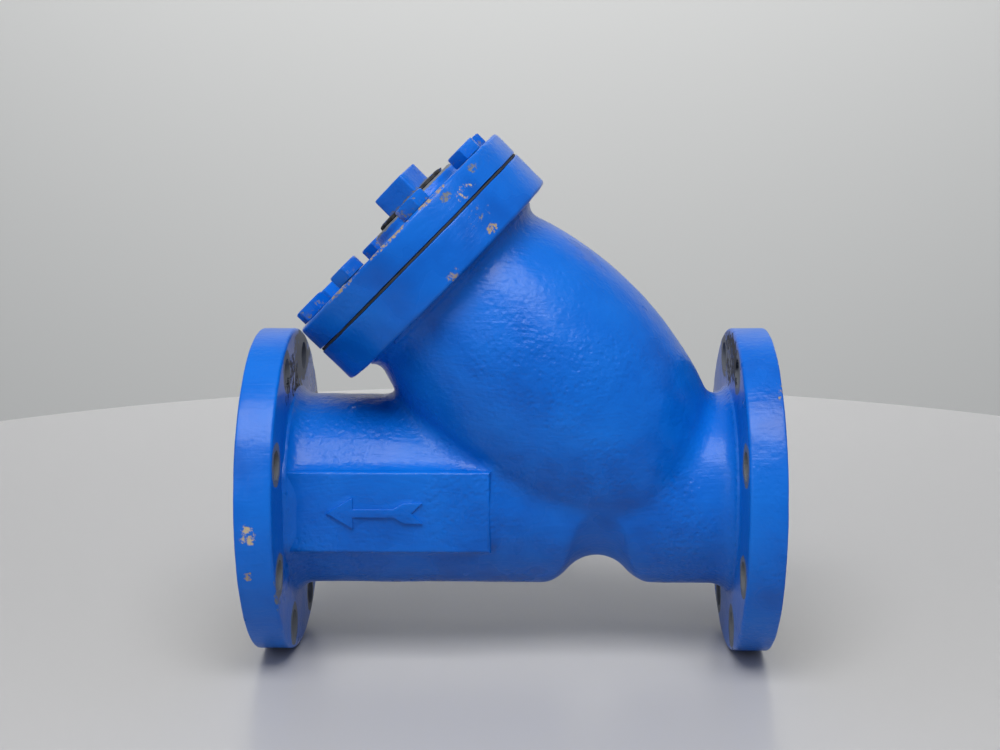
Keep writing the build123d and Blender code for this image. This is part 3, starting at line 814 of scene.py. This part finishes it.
# ========================================================= bolts, plug, seal
def threaded_outline(radius, top, thread_start, bottom, lead, depth):
    """Half section of a threaded shank, its crests and roots as a zigzag."""
    points = [(0, top), (radius, top), (radius, thread_start)]
    turns = int((thread_start - bottom) / lead)
    for turn in range(turns):
        height = thread_start - turn * lead
        points += [(radius - depth, height - lead * 0.5), (radius, height - lead)]
    points += [(radius - depth, bottom), (0, bottom)]
    return points


def add_turned(shape, outline, place, steps):
    """Adds a turned solid to a bmesh."""
    mesh = bpy.data.meshes.new("turned")
    solid = spun(outline, place, steps)
    solid.to_mesh(mesh)
    solid.free()
    shape.from_mesh(mesh)


def cover_bolt(index):
    """Hexagon bolt: its head at the turn it stopped at, corners chamfered, and its shank."""
    place = leg_place(BOLT_POINTS[index])
    corner = BOLT_HEAD_FLAT / math.cos(math.pi / 6)
    head = bmesh.new()
    bmesh.ops.create_cone(head, cap_ends=True, segments=6, radius1=corner, radius2=corner,
                          depth=BOLT_HEAD_HEIGHT,
                          matrix=Matrix.Rotation(math.radians(BOLT_TURNS[index]), 4, "Z")
                          @ Matrix.Translation((0, 0, BOLT_HEAD_HEIGHT / 2)))
    bmesh.ops.bevel(head, geom=head.edges[:], offset=0.0005, segments=2, profile=0.5,
                    affect="EDGES", material=-1)
    bmesh.ops.transform(head, matrix=place, verts=head.verts)
    piece = piece_from(f"hex_bolt_{index + 1}", head)
    blank = spun([(0, -0.001), (corner * 1.2, -0.001), (corner * 1.2, BOLT_HEAD_HEIGHT - 0.0033),
                  (corner * 0.84, BOLT_HEAD_HEIGHT + 0.0002), (0, BOLT_HEAD_HEIGHT + 0.0002)],
                 place, 72)
    cut(piece, [blank], "INTERSECT")
    shape = bmesh.new()
    shape.from_mesh(piece.data)
    outline = threaded_outline(BOLT_RADIUS, 0.001, -BOLT_PLAIN_SHANK, -BOLT_LENGTH,
                               BOLT_LEAD, BOLT_THREAD_DEPTH)
    add_turned(shape, outline, place, 48)
    shape.to_mesh(piece.data)
    shape.free()
    smooth_shade(piece, 25)
    mark_relief(piece, 1)
    return piece


def blow_off_plug():
    """Threaded plug with a square head, turned as it stopped."""
    place = leg_place(PLUG_POINT)
    head = bmesh.new()
    bmesh.ops.create_cube(head, size=1.0)
    bmesh.ops.scale(head, vec=(PLUG_SQUARE, PLUG_SQUARE, PLUG_HEAD_HEIGHT), verts=head.verts)
    upright = [edge for edge in head.edges
               if abs(edge.verts[0].co.z - edge.verts[1].co.z) > 0.001]
    bmesh.ops.bevel(head, geom=upright, offset=0.0024, segments=4, profile=0.5,
                    affect="EDGES", material=-1)
    top = [edge for edge in head.edges
           if min(vertex.co.z for vertex in edge.verts) > PLUG_HEAD_HEIGHT / 2 - 1e-5]
    bmesh.ops.bevel(head, geom=top, offset=0.0014, segments=3, profile=0.5,
                    affect="EDGES", material=-1)
    bmesh.ops.subdivide_edges(head, edges=head.edges[:], cuts=3, use_grid_fill=True)
    lift = Matrix.Translation((0, 0, SEAL_THICKNESS + PLUG_HEAD_HEIGHT / 2))
    turn = Matrix.Rotation(math.radians(-PLUG_TURN), 4, "Z")
    bmesh.ops.transform(head, matrix=place @ lift @ turn, verts=head.verts)
    outline = threaded_outline(PLUG_RADIUS, SEAL_THICKNESS + 0.0005, 0.0,
                               -PLUG_THREAD_LENGTH, PLUG_LEAD, PLUG_THREAD_DEPTH)
    add_turned(head, outline, place, 96)
    piece = piece_from("square_plug", head, 30)
    cast_uneven(piece, 0.00015, 0.008, 21)
    mark_relief(piece, 2)
    return piece


def torn_seal():
    """Rubber ring cut by hand: its outer edge is ragged."""
    place = leg_place(PLUG_POINT)
    shape = spun([(PLUG_RADIUS + FIT, 0), (SEAL_SHOULDER, 0), (SEAL_RADIUS, SEAL_EDGE[0]),
                  (SEAL_RADIUS, SEAL_EDGE[1]), (SEAL_SHOULDER, SEAL_THICKNESS),
                  (PLUG_RADIUS + FIT, SEAL_THICKNESS)], Matrix.Identity(4), 160)
    for vertex in shape.verts:
        flat = Vector((vertex.co.x, vertex.co.y, 0))
        share = (flat.length - PLUG_RADIUS) / (SEAL_RADIUS - PLUG_RADIUS)
        tear = noise.noise(vertex.co * 240) + 0.8 * noise.noise(vertex.co * 700)
        vertex.co += flat.normalized() * (tear * 0.0014 * share)
        vertex.co.z += noise.noise(vertex.co * 320 + Vector((5, 2, 1))) * 0.0006 * share
    bmesh.ops.transform(shape, matrix=place, verts=shape.verts)
    return piece_from("torn_seal", shape, 25)


# ===================================================================== screen
def perforated_tube():
    """Sheet rolled to a tube: hexagonal cells in staggered rows, a six-sided hole in each."""
    low, high = leg_span("screen_tube")
    per_ring = round(math.tau * SCREEN_RADIUS / SCREEN_HOLE_PITCH)
    pitch = math.tau * SCREEN_RADIUS / per_ring
    cell = pitch / math.sqrt(3)
    rows = int((high - low - cell) / (1.5 * cell))
    start = (high + low) / 2 - rows * 0.75 * cell + 0.75 * cell
    shape = bmesh.new()
    for row in range(rows):
        turn = (row % 2) * 0.5 * pitch / SCREEN_RADIUS
        height = start + row * 1.5 * cell
        rings = []
        for radius in (cell, cell * SCREEN_HOLE_SHARE * math.sqrt(3) / 2 * SIX_SIDED_REACH):
            ring = []
            for step in range(6):
                angle = math.pi / 2 + step * math.pi / 3
                around = turn + radius * math.cos(angle) / SCREEN_RADIUS
                ring.append(shape.verts.new((
                    SCREEN_RADIUS * math.cos(around), SCREEN_RADIUS * math.sin(around),
                    height + radius * math.sin(angle))))
            rings.append(ring)
        for step in range(6):
            following = (step + 1) % 6
            shape.faces.new((rings[0][step], rings[0][following], rings[1][following],
                             rings[1][step]))
    bmesh.ops.spin(shape, geom=shape.verts[:] + shape.edges[:] + shape.faces[:],
                   cent=(0, 0, 0), axis=(0, 0, 1), angle=math.tau, steps=per_ring,
                   use_duplicate=True)
    bmesh.ops.remove_doubles(shape, verts=shape.verts, dist=2e-5)
    bmesh.ops.recalc_face_normals(shape, faces=shape.faces)
    bmesh.ops.transform(shape, matrix=LEG_FRAME, verts=shape.verts)
    piece = piece_from("perforated_tube", shape, 40)
    wall = piece.modifiers.new("sheet", "SOLIDIFY")
    wall.thickness = SCREEN_SHEET
    wall.offset = -1
    apply_modifiers(piece)
    smooth_shade(piece, 40)
    return piece


def leg_span(node):
    """Lowest and highest station of a node along the leg."""
    stations = [(LEG_FRAME.inverted() @ vertex.co).z
                for vertex in frame["nodes"][node].data.vertices]
    return min(stations), max(stations)


def tube_ring(node):
    """Rolled end ring of the screen, outside its sheet."""
    bottom, top = leg_span(node)
    inner = SCREEN_RADIUS + SCREEN_RING_GAP
    outer = inner + SCREEN_RING_WALL
    outline = rounded([(inner, bottom), (outer, bottom), (outer, top), (inner, top)],
                      [0.0004, 0.0008, 0.0008, 0.0004])
    return piece_from(node + "_rolled", spun(outline, LEG_FRAME, 144), 50)


def seam_strip():
    """Spot-welded strip behind the sheet's joint."""
    shape = bmesh.new()
    shape.from_mesh(frame["nodes"]["screen_seam_strip"].data)
    bmesh.ops.remove_doubles(shape, verts=shape.verts, dist=2e-6)
    return piece_from("lapped_seam", shape, 30)


def cover_gasket():
    """Thin sheet between cover and flange, its cut rim a little uneven."""
    inner = LEG_BORE_RADIUS + GASKET_INSET
    outline = rounded([(inner, LEG_FACE), (GASKET_RADIUS, LEG_FACE),
                       (GASKET_RADIUS, -COVER_THICKNESS), (inner, -COVER_THICKNESS)],
                      [0.0002] * 4)
    shape = spun(outline, Matrix.Identity(4), 240)
    for vertex in shape.verts:
        flat = Vector((vertex.co.x, vertex.co.y, 0))
        if flat.length > GASKET_EDGE:
            vertex.co += flat.normalized() * noise.noise(vertex.co * 150) * 0.0009
    bmesh.ops.transform(shape, matrix=LEG_FRAME, verts=shape.verts)
    piece = piece_from("cut_gasket", shape, 40)
    return cut(piece, [rod(BOLT_HOLE_RADIUS, -0.05, 0.01, leg_place(point))
                       for point in BOLT_POINTS])


# =================================================================== pieces
def across_rim(turn, up, radius=0.107):
    """Point on the cover's or the leg flange's rim, in the leg's own coordinates."""
    return (radius * math.sin(turn), -radius * math.cos(turn), up)


RIM_SPOTS = (
    ((-0.188, -0.121, 0.122), (0.012, 0.020, 0.016), 210.0, 0.34, PRIMER, 0.7),
    ((-0.196, -0.100, 0.217), (0.005, 0.012, 0.012), 260.0, 0.32, SAND, 0.7),
    ((-0.189, -0.118, 0.092), (0.008, 0.012, 0.009), 260.0, 0.32, SAND, 0.7),
    ((-0.171, -0.108, 0.075), (0.003, 0.026, 0.030), 200.0, 0.33, BARE_IRON, 0.6),
    ((-0.169, 0.030, 0.228), (0.008, 0.075, 0.042), 90.0, 0.42, BARE_IRON, 0.6),
    ((-0.169, -0.020, 0.215), (0.008, 0.060, 0.040), 150.0, 0.34, GRIME_AND_SHADE, 0.7),
    ((0.169, 0.000, 0.232), (0.008, 0.075, 0.036), 100.0, 0.40, GRIME_AND_SHADE, 0.7),
    ((0.169, 0.020, 0.225), (0.008, 0.060, 0.036), 150.0, 0.34, BARE_IRON, 0.6),
    ((0.196, -0.080, 0.215), (0.005, 0.040, 0.030), 240.0, 0.28, SAND, 0.7))
COVER_SPOTS = (
    (across_rim(-0.45, -0.001), (0.040, 0.030, 0.0035), 380.0, 0.34, SAND, 0.8),
    (across_rim(0.05, -0.001), (0.034, 0.020, 0.0035), 380.0, 0.36, SAND, 0.8),
    (across_rim(0.45, -0.001), (0.030, 0.025, 0.0035), 380.0, 0.34, SAND, 0.8),
    (across_rim(0.52, -0.008), (0.009, 0.012, 0.006), 330.0, 0.34, BARE_IRON, 0.55),
    (across_rim(0.85, -0.007), (0.008, 0.012, 0.006), 330.0, 0.34, BARE_IRON, 0.55),
    (across_rim(0.65, -0.015), (0.022, 0.020, 0.009), 260.0, 0.29, PRIMER, 0.7))
LEG_SPOTS = (
    (across_rim(0.60, -0.047), (0.009, 0.010, 0.007), 330.0, 0.33, SAND, 0.8),
    (across_rim(0.18, -0.050), (0.012, 0.010, 0.006), 330.0, 0.33, SAND, 0.8),
    (across_rim(0.60, -0.034), (0.026, 0.020, 0.013), 260.0, 0.27, BARE_IRON, 0.6))
CAST_PAINT = enamel("Blue enamel over cast body", 230.0, 1.0, (0.2, -0.6, 0.3),
                    edge_wear=0.2, bump=0.75)
RIM_PAINT = enamel("Blue enamel on pipe flanges", 250.0, 0.9, (0, math.pi / 2, 0),
                   RIM_SPOTS, edge_wear=0.55)
LEG_PAINT = enamel("Blue enamel on leg flange", 240.0, 0.9, (0, 0, 0), LEG_SPOTS,
                   edge_wear=0.4, on_leg=True)
COVER_PAINT = enamel("Blue enamel on cover", 240.0, 0.8, (0, 0, 0), COVER_SPOTS,
                     edge_wear=0.4, on_leg=True)
BOLT_PAINT = enamel("Blue enamel on bolts", 420.0, 0.35, (0, 0, 0), edge_wear=0.3,
                    on_leg=True)
PLUG_PAINT = enamel("Blue enamel on plug", 320.0, 0.6, (0, 0, 0), edge_wear=0.3,
                    on_leg=True)
FACE_IRON = machined_iron()
GASKET = sheet_gasket()
RUBBER = torn_rubber()
STEEL = screen_steel()

finish_piece(body_shell(), "body", "enamelled_iron", CAST_PAINT, *CASTING_NODES)
finish_piece(arrow_pad(), "body", "enamelled_iron", CAST_PAINT)
for flange_name, flange_side in (("inlet_flange", 1), ("outlet_flange", -1)):
    flange = pipe_flange(flange_name, flange_side)
    finish_piece(flange, "body", "enamelled_iron", RIM_PAINT)
    machine_faces(flange, FACE_IRON, lambda face: face.normal.x * flange_side > 0.9)
finish_piece(leg_flange(), "body", "enamelled_iron", LEG_PAINT)

finish_piece(cover(), "cover", "cover_iron", COVER_PAINT, "cover")
for bolt_index, bolt_name in enumerate(BOLT_NAMES):
    finish_piece(cover_bolt(bolt_index), bolt_name, "painted_bolt", BOLT_PAINT,
                 f"cover_{bolt_name}")
finish_piece(blow_off_plug(), "plug", "painted_plug", PLUG_PAINT, "blow_off_plug")
finish_piece(torn_seal(), "plug_seal", "seal_rubber", RUBBER, "plug_seal")
finish_piece(perforated_tube(), "screen", "screen_steel", STEEL, "screen_tube")
finish_piece(cover_gasket(), "gasket", "gasket_sheet", GASKET, "cover_gasket")
for ring_name in ("screen_ring_seat", "screen_ring_cover"):
    finish_piece(tube_ring(ring_name), "screen", "screen_steel", STEEL, ring_name)
finish_piece(seam_strip(), "screen", "screen_steel", STEEL, "screen_seam_strip")


# ==================================================== floor, light and camera
def flat_paint(name, colour, roughness):
    material, _, shader, _ = new_material(name)
    shader.inputs["Base Color"].default_value = colour
    shader.inputs["Roughness"].default_value = roughness
    return material


def stage_piece(name, shape, material, sharp_degrees=30):
    piece = piece_from(name, shape, sharp_degrees)
    piece.data.materials.append(material)
    return piece


table = bmesh.new()
bmesh.ops.create_circle(table, cap_ends=True, segments=160, radius=1.12)
stage_piece("table_top", table, flat_paint("Pale table", linear(178, 177, 177), 0.28))
wall = bmesh.new()
bmesh.ops.create_grid(wall, x_segments=1, y_segments=1, size=5.0,
                      matrix=Matrix.Translation((0, 2.2, 0))
                      @ Matrix.Rotation(math.pi / 2, 4, "X"))
stage_piece("wall", wall, flat_paint("Grey wall", linear(190, 190, 188), 0.9))


def soft_light(name, place, target, size, power, spread=180):
    light = bpy.data.lights.new(name, "AREA")
    light.shape = "RECTANGLE"
    light.size, light.size_y = size
    light.energy = power
    light.spread = math.radians(spread)
    lamp = bpy.data.objects.new(name, light)
    lamp.location = place
    lamp.rotation_euler = (Vector(target) - Vector(place)).to_track_quat("-Z", "Y").to_euler()
    bpy.context.scene.collection.objects.link(lamp)


soft_light("overhead", (0.0, -1.25, 2.1), (0, -0.3, 0.1), (2.0, 1.1), 56.0)
soft_light("front_fill", (-1.6, -2.6, 1.5), (0, 0, 0.15), (1.8, 1.8), 12.0)
soft_light("wall_wash", (0, 0.9, 2.7), (0, 2.2, 0.9), (3.4, 0.8), 38.0, 110)

world = bpy.data.worlds.new("room")
world.use_nodes = True
world.node_tree.nodes["Background"].inputs["Color"].default_value = linear(196, 200, 206)
world.node_tree.nodes["Background"].inputs["Strength"].default_value = 0.6
bpy.context.scene.world = world

camera_data = bpy.data.cameras.new("camera")
camera_data.lens = 53.9
camera_data.sensor_width = 36.0
camera = bpy.data.objects.new("camera", camera_data)
camera.matrix_world = (Matrix.Translation((0.0204, -1.1583, 0.4243))
                       @ Matrix.Rotation(math.radians(1.49), 4, "Z")
                       @ Matrix.Rotation(math.radians(90 - 10.1), 4, "X")
                       @ Matrix.Rotation(math.radians(-0.2), 4, "Z"))
bpy.context.scene.collection.objects.link(camera)
bpy.context.scene.camera = camera
bpy.context.scene.view_settings.view_transform = "Standard"
